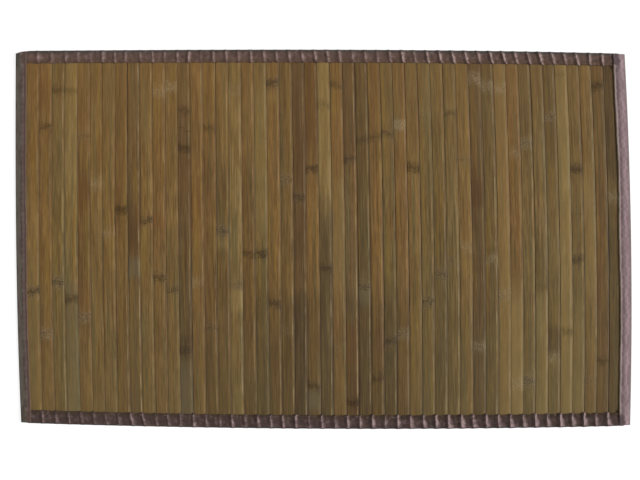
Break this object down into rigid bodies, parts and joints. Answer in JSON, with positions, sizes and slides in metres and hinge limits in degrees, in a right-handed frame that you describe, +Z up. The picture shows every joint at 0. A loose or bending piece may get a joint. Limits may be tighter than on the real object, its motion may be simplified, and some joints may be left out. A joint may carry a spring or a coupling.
{
  "type": "bamboo mat",
  "caption": "Flat rectangular floor mat of bamboo slats laid side by side, bound round its edges with folded and puckered cloth tape.",
  "frame": {"origin": "on the floor, under the middle of the mat", "axes": "+X across the slats along the long side, +Y along the slats, +Z up from the floor"},
  "size_m": [0.8668, 0.532, 0.0067],
  "materials": {
    "bamboo_straw": "planed bamboo, straw tone, thin satin lacquer",
    "bamboo_honey": "planed bamboo, honey tone, thin satin lacquer",
    "bamboo_amber": "planed bamboo, amber tone, thin satin lacquer",
    "bamboo_olive": "planed bamboo, olive tone, thin satin lacquer",
    "bamboo_umber": "planed bamboo, umber tone, thin satin lacquer",
    "binding_cloth": "plain woven tape, mauve brown, puckered"
  },
  "bodies": {
    "root": {"slat_01": "bamboo_amber", "slat_02": "bamboo_amber", "slat_03": "bamboo_olive", "slat_04": "bamboo_straw", "slat_05": "bamboo_amber", "slat_06": "bamboo_honey", "slat_07": "bamboo_honey", "slat_08": "bamboo_amber", "slat_09": "bamboo_umber", "slat_10": "bamboo_honey", "slat_11": "bamboo_amber", "slat_12": "bamboo_honey", "slat_13": "bamboo_umber", "slat_14": "bamboo_amber", "slat_15": "bamboo_amber", "slat_16": "bamboo_honey", "slat_17": "bamboo_straw", "slat_18": "bamboo_amber", "slat_19": "bamboo_olive", "slat_20": "bamboo_amber", "slat_21": "bamboo_honey", "slat_22": "bamboo_umber", "slat_23": "bamboo_amber", "slat_24": "bamboo_straw", "slat_25": "bamboo_amber", "slat_26": "bamboo_umber", "slat_27": "bamboo_olive", "slat_28": "bamboo_amber", "slat_29": "bamboo_olive", "slat_30": "bamboo_amber", "slat_31": "bamboo_honey", "slat_32": "bamboo_olive", "slat_33": "bamboo_olive", "slat_34": "bamboo_straw", "slat_35": "bamboo_honey", "slat_36": "bamboo_umber", "slat_37": "bamboo_olive", "slat_38": "bamboo_amber", "slat_39": "bamboo_amber", "slat_40": "bamboo_olive", "slat_41": "bamboo_straw", "slat_42": "bamboo_olive", "slat_43": "bamboo_straw", "slat_44": "bamboo_olive", "slat_45": "bamboo_honey", "slat_46": "bamboo_amber", "slat_47": "bamboo_olive", "binding_top": "binding_cloth", "binding_bottom": "binding_cloth", "binding_left": "binding_cloth", "binding_right": "binding_cloth"}
  },
  "joints": []
}
